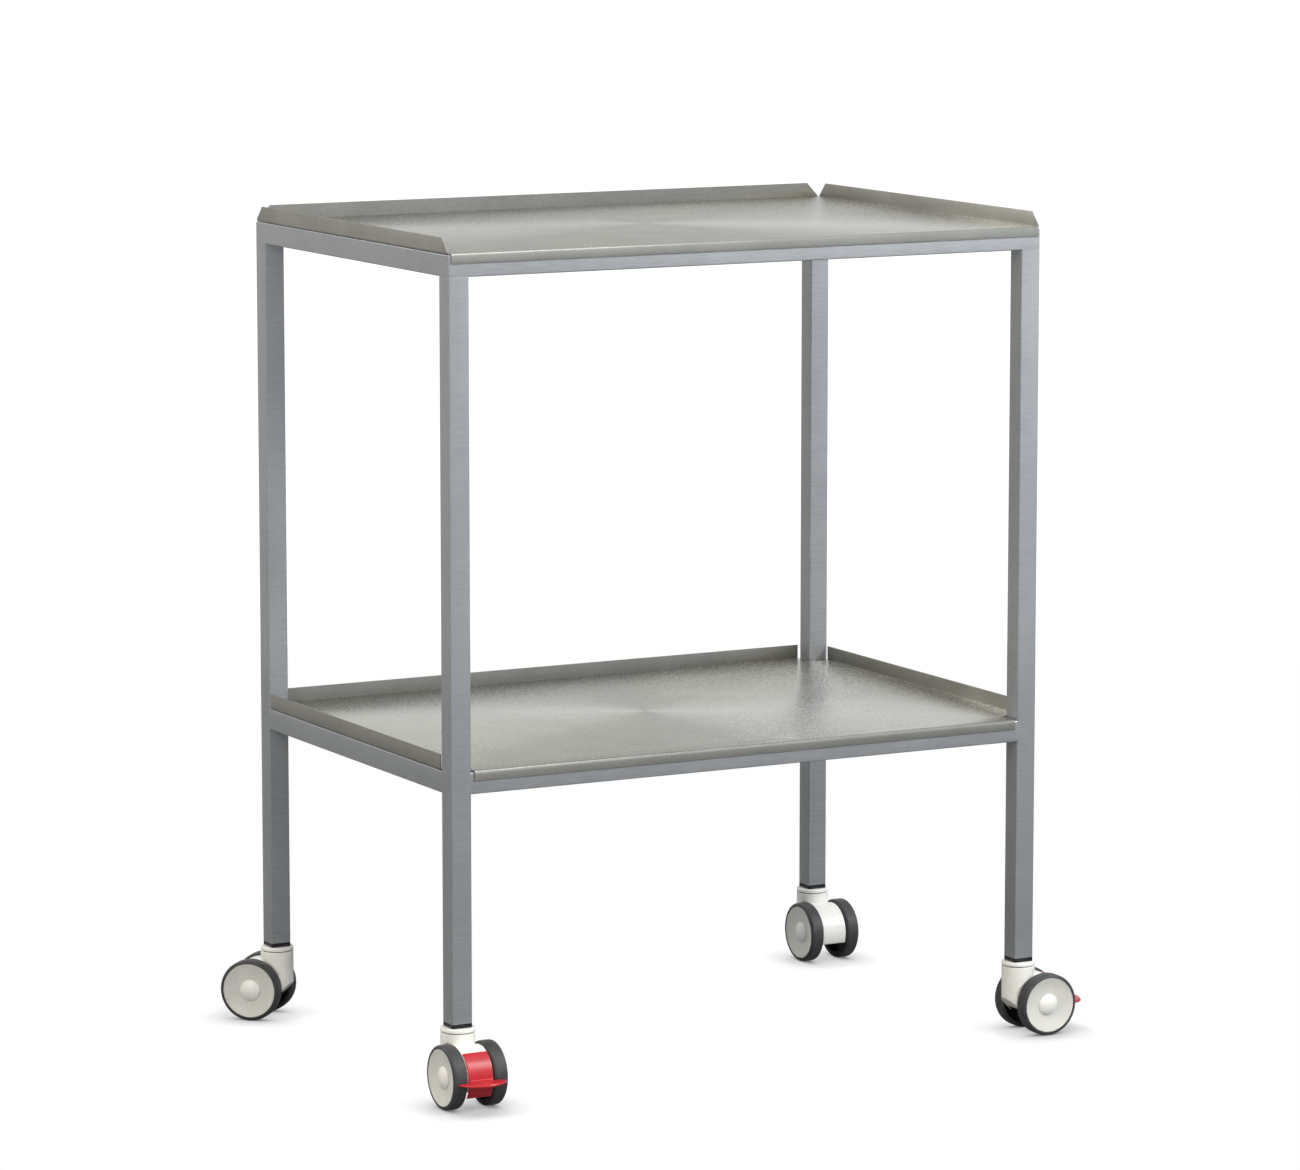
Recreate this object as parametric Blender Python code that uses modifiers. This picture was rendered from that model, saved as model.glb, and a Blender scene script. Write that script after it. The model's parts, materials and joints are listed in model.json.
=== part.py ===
"""Instrument cart: a square-tube frame with two bent-sheet trays on four twin-wheel casters.

Lengths are in metres. X runs along the long side, -Y is the open front, Z is up and the floor is at
zero. A caster is built in its own axes: x runs the way it trails, y along the axle, z up from the floor.
"""

import math

import bmesh
import bpy
from mathutils import Matrix

# Frame
FRAME_LENGTH = 0.780
FRAME_DEPTH = 0.526
TUBE = 0.0254
TUBE_WALL = 0.0015
TUBE_CORNER = 0.0015
LEG_BOTTOM = 0.0942
LEG_TOP = 0.950
LOWER_RING_BOTTOM = 0.360
GAP = 0.0003
# The resting casters reach further right and forward, so the frame stands back by this much
# each way to keep the middle of the whole cart over the origin.
CASTER_BIAS = 0.00794

# Trays
SHEET = 0.0015
FLANGE_HEIGHT = 0.0185
FRONT_DROP = 0.0101
BEND_RADIUS = 0.0018
BEND_STEPS = 3
CORNER_NOTCH = 0.0030
FLANGE_SLANT = 0.0150
FLANGE_SQUARE_RISE = 0.0025
LEG_CLEARANCE = 0.0038

# Leg plug, collar and stem
PLUG_FLANGE = 0.0040
PLUG_INSERT = 0.0220
PLUG_TAPER = 0.0006
STEM_RADIUS = 0.0050
STEM_TOP = 0.1120
STEM_BOTTOM = 0.0670
STEM_CHAMFER = 0.0010
BORE_CLEARANCE = 0.0003
SWIVEL_RADIUS = 0.0200
COLLAR_TOP = LEG_BOTTOM - GAP - PLUG_FLANGE - GAP
GROOVE_TOP = 0.0843
GROOVE_BOTTOM = 0.0835
GROOVE_DEPTH = 0.0012
COLLAR_ROUND = 0.0012

# Caster
TRAIL = 0.0245
WHEEL_RADIUS = 0.0375
WHEEL_INNER_FACE = 0.0171
WHEEL_OUTER_FACE = 0.0346
TYRE_DEPTH = 0.0042
COVER_RADIUS = 0.0340
COVER_HALF_WIDTH = 0.0164
COVER_WALL = 0.0030
HOUSING_BOTTOM = 0.0250
HOUSING_SLOPE_TOP = 0.0460
POCKET_RADIUS = 0.0388
STEM_SOCKET_BOTTOM = 0.0660
AXLE_RADIUS = 0.0040
AXLE_HALF_LENGTH = 0.0295

# Wheel core and hub cap
DISC_RECESS = 0.0012
HUB_FACE = 0.0300
HUB_RADIUS = 0.0095
HUB_INNER_FACE = 0.0169
WEB_INNER_FACE = 0.0270
RIM_THICKNESS = 0.0030
CAP_RADIUS = 0.0135
CAP_HEIGHT = 0.0048
CAP_WALL = 0.0014

# Brake pedal
PEDAL_HALF_WIDTH = 0.0155
PEDAL_THICKNESS = 0.0016
PEDAL_CLEARANCE = 0.0004
PEDAL_TOP_ANGLE = math.radians(57.5)
PEDAL_BOTTOM_ANGLE = math.radians(-35.0)
PEDAL_ARM_ANGLE = math.radians(-29.0)
PEDAL_NECK_HALF_WIDTH = 0.0145
PEDAL_ARM_HALF_WIDTH = 0.0100
PEDAL_EYE_RADIUS = 0.0075
PEDAL_EYE_HALF_WIDTH = 0.0110
LIP_HALF_WIDTH = 0.0305
LIP_REACH = 0.0195
LIP_BOTTOM = 0.0340
LIP_THICKNESS = 0.0045
LIP_CLEARANCE = 0.0008

# Mesh fineness
CORNER_STEPS = 3
SHOULDER_STEPS = 3
TYRE_STEPS = 32
CORE_STEPS = 24
CAP_STEPS = 16
PIN_STEPS = 16
COVER_STEPS = 48
SWIVEL_STEPS = 32
ARC_STEPS = 12
CUTTER_REACH = 0.1000

HALF_LENGTH = FRAME_LENGTH / 2
HALF_DEPTH = FRAME_DEPTH / 2
LEG_X = HALF_LENGTH - TUBE / 2
LEG_Y = HALF_DEPTH - TUBE / 2
TOP_RING_BOTTOM = LEG_TOP + GAP
WELD = 0.00001

# Name, side of the cart in x and y, way the caster trails, brake fitted
CORNERS = [
    ("front_left", -1, -1, math.radians(-90), True),
    ("back_left", -1, 1, math.radians(135), False),
    ("front_right", 1, -1, math.radians(0), True),
    ("back_right", 1, 1, math.radians(-90), False),
]


def material(name, colour, metallic, roughness):
    made = bpy.data.materials.new(name)
    made.use_nodes = True
    shader = made.node_tree.nodes["Principled BSDF"]
    shader.inputs["Base Color"].default_value = (*colour, 1.0)
    shader.inputs["Metallic"].default_value = metallic
    shader.inputs["Roughness"].default_value = roughness
    made.diffuse_color = (*colour, 1.0)
    return made


def collection(name):
    made = bpy.data.collections.new(name)
    bpy.context.scene.collection.children.link(made)
    return made


def link(name, data, group, surface=None):
    made = bpy.data.objects.new(name, data)
    group.objects.link(made)
    if surface:
        data.materials.append(surface)
    return made


def place(item, location=(0, 0, 0), rotation=(0, 0, 0), parent=None):
    item.location = location
    item.rotation_euler = rotation
    item.parent = parent
    return item


def arc(centre, radius, start, end, steps):
    """Points on a circle from one angle to another, both ends included."""
    return [
        (
            centre[0] + radius * math.cos(start + (end - start) * i / steps),
            centre[1] + radius * math.sin(start + (end - start) * i / steps),
        )
        for i in range(steps + 1)
    ]


def rounded_square(half, radius):
    """Outline of a square with round corners, centred on the origin."""
    points = []
    inner = half - radius
    for corner in range(4):
        turn = corner * math.pi / 2
        centre = (
            inner * math.sqrt(2) * math.cos(turn + math.pi / 4),
            inner * math.sqrt(2) * math.sin(turn + math.pi / 4),
        )
        points += arc(centre, radius, turn, turn + math.pi / 2, CORNER_STEPS)
    return points


def extruded_mesh(name, outlines, depth):
    """Flat outlines (the first outside, the rest holes) thickened along z about zero."""
    curve = bpy.data.curves.new(name, "CURVE")
    curve.dimensions = "2D"
    curve.fill_mode = "BOTH"
    curve.extrude = depth / 2
    for outline in outlines:
        spline = curve.splines.new("POLY")
        spline.points.add(len(outline) - 1)
        for point, (x, y) in zip(spline.points, outline):
            point.co = (x, y, 0, 1)
        spline.use_cyclic_u = True
    holder = bpy.data.objects.new(name, curve)
    mesh = bpy.data.meshes.new_from_object(holder)
    bpy.data.objects.remove(holder)
    bpy.data.curves.remove(curve)
    mesh.name = name
    shell = bmesh.new()
    shell.from_mesh(mesh)
    bmesh.ops.remove_doubles(shell, verts=shell.verts, dist=WELD)
    bmesh.ops.recalc_face_normals(shell, faces=shell.faces)
    shell.to_mesh(mesh)
    shell.free()
    return mesh


def turned(name, profile, steps, group, surface=None, closed=True):
    """A profile of (radius, height) points turned about z."""
    mesh = bpy.data.meshes.new(name)
    vertices = [(radius, 0, height) for radius, height in profile]
    edges = [(i, i + 1) for i in range(len(profile) - 1)]
    if closed:
        edges.append((len(profile) - 1, 0))
    mesh.from_pydata(vertices, edges, [])
    made = link(name, mesh, group, surface)
    screw = made.modifiers.new("Turn", "SCREW")
    screw.axis = "Z"
    screw.steps = steps
    screw.render_steps = steps
    screw.use_merge_vertices = True
    screw.merge_threshold = WELD
    screw.use_smooth_shade = True
    return made


def cut(target, cutter, operation="DIFFERENCE"):
    boolean = target.modifiers.new(cutter.name, "BOOLEAN")
    boolean.operation = operation
    boolean.solver = "EXACT"
    boolean.object = cutter
    cutter.hide_render = True
    cutter.display_type = "WIRE"


def weld(target):
    """Close the hairline edges that a row of cuts can leave."""
    joined = target.modifiers.new("Weld", "WELD")
    joined.merge_threshold = WELD


def cylinder(name, radius, low, high, steps, group):
    """A plain cylinder about z between two heights."""
    profile = [(0, high), (radius, high), (radius, low), (0, low)]
    made = turned(name, profile, steps, group, closed=False)
    made.modifiers["Turn"].use_smooth_shade = False
    return made


def tube_mesh(name, length, mitred=False):
    """Hollow square tube along x; mitred ends grow longer towards +y."""
    outside = rounded_square(TUBE / 2, TUBE_CORNER)
    inside = rounded_square(TUBE / 2 - TUBE_WALL, TUBE_CORNER / 2)
    mesh = extruded_mesh(name, [outside, inside], length)
    mesh.transform(Matrix.Rotation(math.pi / 2, 4, "Y"))
    if mitred:
        for vertex in mesh.vertices:
            vertex.co.x += vertex.co.y * math.copysign(1, vertex.co.x)
    return mesh


def build_frame(group, steel):
    leg_length = LEG_TOP - LEG_BOTTOM
    for corner, side_x, side_y, _, _ in CORNERS:
        name = f"leg_{corner}"
        leg = link(name, tube_mesh(name, leg_length), group, steel)
        middle = (side_x * LEG_X, side_y * LEG_Y, LEG_BOTTOM + leg_length / 2)
        place(leg, middle, (0, math.pi / 2, 0))

    # Each ring goes round by quarter turns, the outer side of every rail facing away from the cart.
    rails = [
        ("back", FRAME_LENGTH, LEG_Y),
        ("left", FRAME_DEPTH, LEG_X),
        ("front", FRAME_LENGTH, LEG_Y),
        ("right", FRAME_DEPTH, LEG_X),
    ]
    for quarter, (side, span, reach) in enumerate(rails):
        turn = quarter * math.pi / 2
        x = -reach * math.sin(turn)
        y = reach * math.cos(turn)
        name = f"top_rail_{side}"
        mesh = tube_mesh(name, span - TUBE - GAP, mitred=True)
        rail = link(name, mesh, group, steel)
        place(rail, (x, y, TOP_RING_BOTTOM + TUBE / 2), (0, 0, turn))
        name = f"lower_rail_{side}"
        mesh = tube_mesh(name, span - 2 * (TUBE + GAP))
        rail = link(name, mesh, group, steel)
        place(rail, (x, y, LOWER_RING_BOTTOM + TUBE / 2), (0, 0, turn))


def build_tray(name, group, stainless, notch, slant):
    """Bent sheet: its underside and outer faces are drawn, then thickened upwards and inwards.

    The corners of the floor are cut square by the notch. The flange ends rise square past the
    bend and then lean by the slant.
    """
    front = -HALF_DEPTH - GAP
    inner_front = front if notch < TUBE else -HALF_DEPTH
    corners = [
        [(-HALF_LENGTH, inner_front + notch), (-HALF_LENGTH + notch, front)],
        [(HALF_LENGTH - notch, front), (HALF_LENGTH, inner_front + notch)],
        [(HALF_LENGTH, HALF_DEPTH - notch), (HALF_LENGTH - notch, HALF_DEPTH)],
        [(-HALF_LENGTH + notch, HALF_DEPTH), (-HALF_LENGTH, HALF_DEPTH - notch)],
    ]
    floor = []
    folds = []
    for index, (first, second) in enumerate(corners):
        inside_x = first[0] if index in (1, 3) else second[0]
        inside_y = second[1] if index in (1, 3) else first[1]
        floor += [first, (inside_x, inside_y), second]
        folds.append((second, corners[(index + 1) % 4][0]))
    vertices = [(x, y, 0) for x, y in floor]
    faces = [list(range(len(floor)))]
    for index, (start, end) in enumerate(folds):
        rise = -FRONT_DROP if index == 0 else FLANGE_HEIGHT
        lean = 0 if index == 0 else slant
        length = math.dist(start, end)
        along = ((end[0] - start[0]) / length, (end[1] - start[1]) / length)
        far = (end[0] - along[0] * lean, end[1] - along[1] * lean)
        near = (start[0] + along[0] * lean, start[1] + along[1] * lean)
        base = len(vertices)
        vertices += [(*far, rise), (*near, rise)]
        outline = [floor.index(end), floor.index(start), base + 1, base]
        if lean:
            vertices += [(*start, FLANGE_SQUARE_RISE), (*end, FLANGE_SQUARE_RISE)]
            outline = [*outline[:2], base + 2, base + 1, base, base + 3]
        faces.append(outline)
    mesh = bpy.data.meshes.new(name)
    mesh.from_pydata(vertices, [], faces)
    tray = link(name, mesh, group, stainless)
    bend = tray.modifiers.new("Bend", "BEVEL")
    bend.limit_method = "ANGLE"
    bend.width = BEND_RADIUS
    bend.segments = BEND_STEPS
    sheet = tray.modifiers.new("Sheet", "SOLIDIFY")
    sheet.thickness = SHEET
    sheet.offset = 1.0
    sheet.use_even_offset = True
    return tray


def build_leg_end(corner, x, y, group, cutters, surfaces):
    """Black plug in the tube, fixed white collar under it and the stem that carries the caster."""
    name = f"leg_plug_{corner}"
    flange_top = LEG_BOTTOM - GAP
    square = rounded_square(TUBE / 2, TUBE_CORNER)
    plug = link(name, extruded_mesh(name, [square], PLUG_FLANGE), group, surfaces["black"])
    place(plug, (x, y, flange_top - PLUG_FLANGE / 2))
    insert_half = TUBE / 2 - TUBE_WALL - PLUG_TAPER
    square = rounded_square(insert_half, TUBE_CORNER / 2)
    insert = link(f"insert_{corner}", extruded_mesh(name, [square], PLUG_INSERT), cutters)
    insert_middle = flange_top + PLUG_INSERT / 2 - PLUG_FLANGE / 2
    place(insert, (x, y, insert_middle))
    cut(plug, insert, "UNION")
    bore_radius = STEM_RADIUS + BORE_CLEARANCE
    bore_name = f"plug_bore_{corner}"
    bore = cylinder(bore_name, bore_radius, -CUTTER_REACH, CUTTER_REACH, PIN_STEPS, cutters)
    place(bore, (x, y, flange_top))
    cut(plug, bore)

    rebate = SWIVEL_RADIUS - GROOVE_DEPTH
    collar_profile = [
        (bore_radius, COLLAR_TOP),
        (SWIVEL_RADIUS - COLLAR_ROUND, COLLAR_TOP),
        (SWIVEL_RADIUS, COLLAR_TOP - COLLAR_ROUND),
        (SWIVEL_RADIUS, GROOVE_TOP),
        (rebate, GROOVE_TOP),
        (rebate, GROOVE_BOTTOM + GAP),
        (bore_radius, GROOVE_BOTTOM + GAP),
    ]
    collar = turned(f"collar_{corner}", collar_profile, SWIVEL_STEPS, group, surfaces["white"])
    place(collar, (x, y, 0))

    stem_profile = [
        (0, STEM_TOP),
        (STEM_RADIUS - STEM_CHAMFER, STEM_TOP),
        (STEM_RADIUS, STEM_TOP - STEM_CHAMFER),
        (STEM_RADIUS, STEM_BOTTOM + STEM_CHAMFER),
        (STEM_RADIUS - STEM_CHAMFER, STEM_BOTTOM),
        (0, STEM_BOTTOM),
    ]
    stem = turned(f"stem_{corner}", stem_profile, PIN_STEPS, group, surfaces["steel"], closed=False)
    place(stem, (x, y, 0))


def across(name, outline, half_width, group, surface=None):
    """An outline drawn in x and z, extruded along y to both sides."""
    mesh = extruded_mesh(name, [outline], 2 * half_width)
    mesh.transform(Matrix.Rotation(math.pi / 2, 4, "X"))
    return link(name, mesh, group, surface)


def build_housing(corner, pivot, group, cutters, surfaces):
    """White swivel body: a round barrel and a curved cover, hollow and open underneath."""
    axle = (TRAIL, 0, WHEEL_RADIUS)
    sideways = (math.pi / 2, 0, 0)
    name = f"swivel_housing_{corner}"
    housing = cylinder(name, SWIVEL_RADIUS, 0, GROOVE_BOTTOM, SWIVEL_STEPS, group)
    housing.data.materials.append(surfaces["white"])
    place(housing, parent=pivot)

    def helper(label, radius, low, high, steps, location, rotation=(0, 0, 0)):
        made = cylinder(f"{label}_{corner}", radius, low, high, steps, cutters)
        return place(made, location, rotation, pivot)

    # Drawn too wide: the wheel pockets trim it to its real width.
    wide = SWIVEL_RADIUS
    cover = helper("cover", COVER_RADIUS, -wide, wide, COVER_STEPS, axle, sideways)
    cut(housing, cover, "UNION")
    for side in (-1, 1):
        low, high = sorted((side * COVER_HALF_WIDTH, side * 2 * SWIVEL_RADIUS))
        pocket = helper(f"pocket_{side}", POCKET_RADIUS, low, high, COVER_STEPS, axle, sideways)
        cut(housing, pocket)
    hollow_half = COVER_HALF_WIDTH - COVER_WALL
    hollow_radius = COVER_RADIUS - COVER_WALL
    hollow = helper("hollow", hollow_radius, -hollow_half, hollow_half, COVER_STEPS, axle, sideways)
    cut(housing, hollow)
    slope_run = HOUSING_SLOPE_TOP - HOUSING_BOTTOM
    far = TRAIL + WHEEL_RADIUS
    back = -SWIVEL_RADIUS - GROOVE_DEPTH
    underside = [
        (back, HOUSING_SLOPE_TOP),
        (back + slope_run, HOUSING_BOTTOM),
        (far, HOUSING_BOTTOM),
        (far, -HOUSING_BOTTOM),
        (back, -HOUSING_BOTTOM),
    ]
    base = across(f"underside_{corner}", underside, 2 * SWIVEL_RADIUS, cutters)
    cut(housing, place(base, parent=pivot))
    bore = STEM_RADIUS + BORE_CLEARANCE
    socket = helper("socket", bore, STEM_SOCKET_BOTTOM, CUTTER_REACH, PIN_STEPS, (0, 0, 0))
    cut(housing, socket)
    hole = AXLE_RADIUS + BORE_CLEARANCE
    axle_hole = helper(
        "axle_hole", hole, -CUTTER_REACH, CUTTER_REACH, PIN_STEPS, axle, sideways
    )
    cut(housing, axle_hole)
    weld(housing)


def build_wheels(corner, pivot, group, surfaces):
    tyre_inner = WHEEL_RADIUS - TYRE_DEPTH
    rim = tyre_inner - GAP
    bore = AXLE_RADIUS + BORE_CLEARANCE
    tyre_profile = [(tyre_inner, WHEEL_OUTER_FACE)]
    shoulder = WHEEL_OUTER_FACE - TYRE_DEPTH
    tyre_profile += arc((tyre_inner, shoulder), TYRE_DEPTH, math.pi / 2, 0, SHOULDER_STEPS)[1:]
    shoulder = WHEEL_INNER_FACE + TYRE_DEPTH
    tyre_profile += arc((tyre_inner, shoulder), TYRE_DEPTH, 0, -math.pi / 2, SHOULDER_STEPS)
    core_profile = [
        (bore, HUB_FACE),
        (CAP_RADIUS, HUB_FACE),
        (rim, WHEEL_OUTER_FACE - DISC_RECESS),
        (rim, WHEEL_INNER_FACE),
        (rim - RIM_THICKNESS, WHEEL_INNER_FACE),
        (rim - RIM_THICKNESS, WEB_INNER_FACE),
        (HUB_RADIUS, WEB_INNER_FACE),
        (HUB_RADIUS, HUB_INNER_FACE),
        (bore, HUB_INNER_FACE),
    ]
    cap_base = HUB_FACE + GAP
    sphere = (CAP_RADIUS**2 + CAP_HEIGHT**2) / (2 * CAP_HEIGHT)
    centre = (0, cap_base + CAP_HEIGHT - sphere)
    edge = math.asin((cap_base - centre[1]) / sphere)
    inner_edge = math.asin((cap_base - centre[1]) / (sphere - CAP_WALL))
    cap_profile = arc(centre, sphere, math.pi / 2, edge, SHOULDER_STEPS)
    cap_profile += arc(centre, sphere - CAP_WALL, inner_edge, math.pi / 2, 2)
    cap_profile[0] = (0, cap_profile[0][1])
    cap_profile[-1] = (0, cap_profile[-1][1])
    for side, turn in (("left", math.pi / 2), ("right", -math.pi / 2)):
        for label, profile, steps, surface, closed in (
            ("tyre", tyre_profile, TYRE_STEPS, "tyre", True),
            ("wheel_core", core_profile, CORE_STEPS, "disc", True),
            ("hub_cap", cap_profile, CAP_STEPS, "white", False),
        ):
            name = f"{label}_{corner}_{side}"
            piece = turned(name, profile, steps, group, surfaces[surface], closed)
            place(piece, (TRAIL, 0, WHEEL_RADIUS), (turn, 0, 0), pivot)

    axle_profile = [
        (0, AXLE_HALF_LENGTH),
        (AXLE_RADIUS - STEM_CHAMFER / 2, AXLE_HALF_LENGTH),
        (AXLE_RADIUS, AXLE_HALF_LENGTH - STEM_CHAMFER / 2),
        (AXLE_RADIUS, -AXLE_HALF_LENGTH + STEM_CHAMFER / 2),
        (AXLE_RADIUS - STEM_CHAMFER / 2, -AXLE_HALF_LENGTH),
        (0, -AXLE_HALF_LENGTH),
    ]
    axle = turned(f"axle_{corner}", axle_profile, PIN_STEPS, group, surfaces["steel"], closed=False)
    place(axle, (TRAIL, 0, WHEEL_RADIUS), (math.pi / 2, 0, 0), pivot)


def build_pedal(corner, pivot, group, cutters, surfaces):
    """Red plate over the cover, foot lip in front of the tyres and an arm back to the axle."""
    axle = (TRAIL, 0, WHEEL_RADIUS)
    inner = COVER_RADIUS + PEDAL_CLEARANCE
    outer = inner + PEDAL_THICKNESS
    plate = arc((0, 0), outer, PEDAL_BOTTOM_ANGLE, PEDAL_TOP_ANGLE, ARC_STEPS)
    plate += arc((0, 0), inner, PEDAL_TOP_ANGLE, PEDAL_BOTTOM_ANGLE, ARC_STEPS)
    pedal = across(f"brake_pedal_{corner}", plate, PEDAL_HALF_WIDTH, group, surfaces["red"])
    place(pedal, axle, parent=pivot)

    bore = AXLE_RADIUS + BORE_CLEARANCE
    middle = (bore + PEDAL_EYE_RADIUS) / 2
    overlap = inner + PEDAL_THICKNESS / 2
    thickness = PEDAL_THICKNESS
    along = (math.cos(PEDAL_ARM_ANGLE), math.sin(PEDAL_ARM_ANGLE))
    normal = (-along[1] * thickness, along[0] * thickness)
    arm = [
        (along[0] * middle, along[1] * middle),
        (along[0] * overlap, along[1] * overlap),
        (along[0] * overlap - normal[0], along[1] * overlap - normal[1]),
        (along[0] * middle - normal[0], along[1] * middle - normal[1]),
    ]
    arm_piece = across(f"pedal_arm_{corner}", arm, PEDAL_ARM_HALF_WIDTH, cutters)
    cut(pedal, place(arm_piece, axle, parent=pivot), "UNION")
    eye = cylinder(
        f"pedal_eye_{corner}",
        PEDAL_EYE_RADIUS,
        -PEDAL_EYE_HALF_WIDTH,
        PEDAL_EYE_HALF_WIDTH,
        PIN_STEPS,
        cutters,
    )
    place(eye, axle, (math.pi / 2, 0, 0), pivot)
    cut(pedal, eye, "UNION")

    back = WHEEL_RADIUS + LIP_CLEARANCE
    rim = arc((0, 0), 1.0, -math.pi / 2, math.pi / 2, ARC_STEPS)
    lip = [(back + x * LIP_REACH, y * LIP_HALF_WIDTH) for x, y in rim]
    lip += [
        (back, PEDAL_NECK_HALF_WIDTH),
        (overlap, PEDAL_NECK_HALF_WIDTH),
        (overlap, -PEDAL_NECK_HALF_WIDTH),
        (back, -PEDAL_NECK_HALF_WIDTH),
    ]
    name = f"pedal_lip_{corner}"
    lip_piece = link(name, extruded_mesh(name, [lip], LIP_THICKNESS), cutters)
    lip_middle = LIP_BOTTOM + LIP_THICKNESS / 2
    cut(pedal, place(lip_piece, (TRAIL, 0, lip_middle), parent=pivot), "UNION")
    pin_name = f"pedal_bore_{corner}"
    pin_hole = cylinder(pin_name, bore, -CUTTER_REACH, CUTTER_REACH, PIN_STEPS, cutters)
    place(pin_hole, axle, (math.pi / 2, 0, 0), pivot)
    cut(pedal, pin_hole)
    weld(pedal)


def main():
    for item in list(bpy.data.objects):
        bpy.data.objects.remove(item)
    group = collection("instrument_cart")
    cutters = collection("cutters")
    frame_steel = material("satin_steel", (0.31, 0.34, 0.37), 0.85, 0.42)
    stainless = material("brushed_stainless", (0.42, 0.42, 0.38), 1.0, 0.38)
    surfaces = {
        "steel": material("bright_steel", (0.55, 0.55, 0.56), 1.0, 0.3),
        "black": material("black_plastic", (0.01, 0.01, 0.01), 0.0, 0.5),
        "white": material("white_plastic", (0.80, 0.79, 0.74), 0.0, 0.35),
        "disc": material("light_grey_plastic", (0.62, 0.61, 0.56), 0.0, 0.4),
        "tyre": material("grey_rubber", (0.055, 0.055, 0.06), 0.0, 0.6),
        "red": material("red_plastic", (0.55, 0.02, 0.03), 0.0, 0.35),
    }

    build_frame(group, frame_steel)
    top_tray = build_tray("top_tray", group, stainless, CORNER_NOTCH, FLANGE_SLANT)
    place(top_tray, (0, 0, TOP_RING_BOTTOM + TUBE + GAP))
    lower_tray = build_tray("lower_tray", group, stainless, TUBE + LEG_CLEARANCE, 0)
    place(lower_tray, (0, 0, LOWER_RING_BOTTOM + TUBE + GAP))

    for corner, side_x, side_y, trail_angle, has_brake in CORNERS:
        x = side_x * LEG_X
        y = side_y * LEG_Y
        build_leg_end(corner, x, y, group, cutters, surfaces)
        pivot = link(f"caster_{corner}", None, group)
        place(pivot, (x, y, 0), (0, 0, trail_angle))
        build_housing(corner, pivot, group, cutters, surfaces)
        build_wheels(corner, pivot, group, surfaces)
        if has_brake:
            build_pedal(corner, pivot, group, cutters, surfaces)

    cart = link("cart", None, group)
    place(cart, (-CASTER_BIAS, CASTER_BIAS, 0))
    for item in [*group.objects, *cutters.objects]:
        if item.parent is None and item is not cart:
            item.parent = cart


main()
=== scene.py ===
import json
import math

import bmesh
import bpy
import numpy as np
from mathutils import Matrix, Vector

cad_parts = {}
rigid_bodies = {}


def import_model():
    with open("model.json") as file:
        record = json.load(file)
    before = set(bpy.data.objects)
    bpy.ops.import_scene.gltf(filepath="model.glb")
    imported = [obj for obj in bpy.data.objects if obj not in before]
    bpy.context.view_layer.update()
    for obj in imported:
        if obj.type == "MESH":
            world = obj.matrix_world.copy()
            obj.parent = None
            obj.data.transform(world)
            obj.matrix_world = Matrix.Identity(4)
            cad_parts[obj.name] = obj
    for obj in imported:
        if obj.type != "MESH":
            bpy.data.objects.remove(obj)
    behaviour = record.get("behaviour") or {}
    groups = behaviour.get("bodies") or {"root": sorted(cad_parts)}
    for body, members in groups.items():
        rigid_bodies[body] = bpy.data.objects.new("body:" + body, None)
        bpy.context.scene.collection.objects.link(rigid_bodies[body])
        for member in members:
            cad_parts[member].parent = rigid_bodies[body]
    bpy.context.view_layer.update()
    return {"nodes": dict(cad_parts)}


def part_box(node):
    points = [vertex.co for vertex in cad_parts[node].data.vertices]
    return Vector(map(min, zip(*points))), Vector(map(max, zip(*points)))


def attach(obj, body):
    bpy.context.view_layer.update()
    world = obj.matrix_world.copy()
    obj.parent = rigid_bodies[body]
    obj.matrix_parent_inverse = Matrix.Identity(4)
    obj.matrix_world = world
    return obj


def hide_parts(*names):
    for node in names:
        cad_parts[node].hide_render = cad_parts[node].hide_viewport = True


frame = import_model()
mm = 0.001
gap = 0.3 * mm  # air between pieces that touch
creaseAngle = 32.0  # degrees: an edge that turns less is shaded smooth

corners = ("front_left", "back_left", "front_right", "back_right")
braked = ("front_left", "front_right")


# Low corner, high corner and middle of a CAD node, in metres
def boxOf(node):
    low, high = (np.array(point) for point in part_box(node))
    return low, high, (low + high) / 2


ringLow, ringHigh = (
    np.min([boxOf(f"top_rail_{side}")[0] for side in ("left", "front")], axis=0),
    np.max([boxOf(f"top_rail_{side}")[1] for side in ("right", "back")], axis=0),
)
middle = (ringLow + ringHigh) / 2  # the frame's own middle, between the casters' reach
tube = ringHigh[2] - ringLow[2]


# sRGB hex to linear colour: each channel c becomes ((c + 0.055) / 1.055) ^ 2.4 above the toe
def linear(hexText):
    parts = np.array([int(hexText[i : i + 2], 16) / 255 for i in (1, 3, 5)])
    bright = ((parts + 0.055) / 1.055) ** 2.4
    return (*np.where(parts <= 0.04045, parts / 12.92, bright).tolist(), 1.0)


# Adds a node: own settings by name, inputs as plain values or as another node's output
def addNode(tree, kind, inputs=None, **settings):
    node = tree.nodes.new(kind)
    for key, value in settings.items():
        setattr(node, key, value)
    for key, value in (inputs or {}).items():
        if isinstance(value, bpy.types.NodeSocket):
            tree.links.new(value, node.inputs[key])
        else:
            node.inputs[key].default_value = value
    return node


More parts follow.
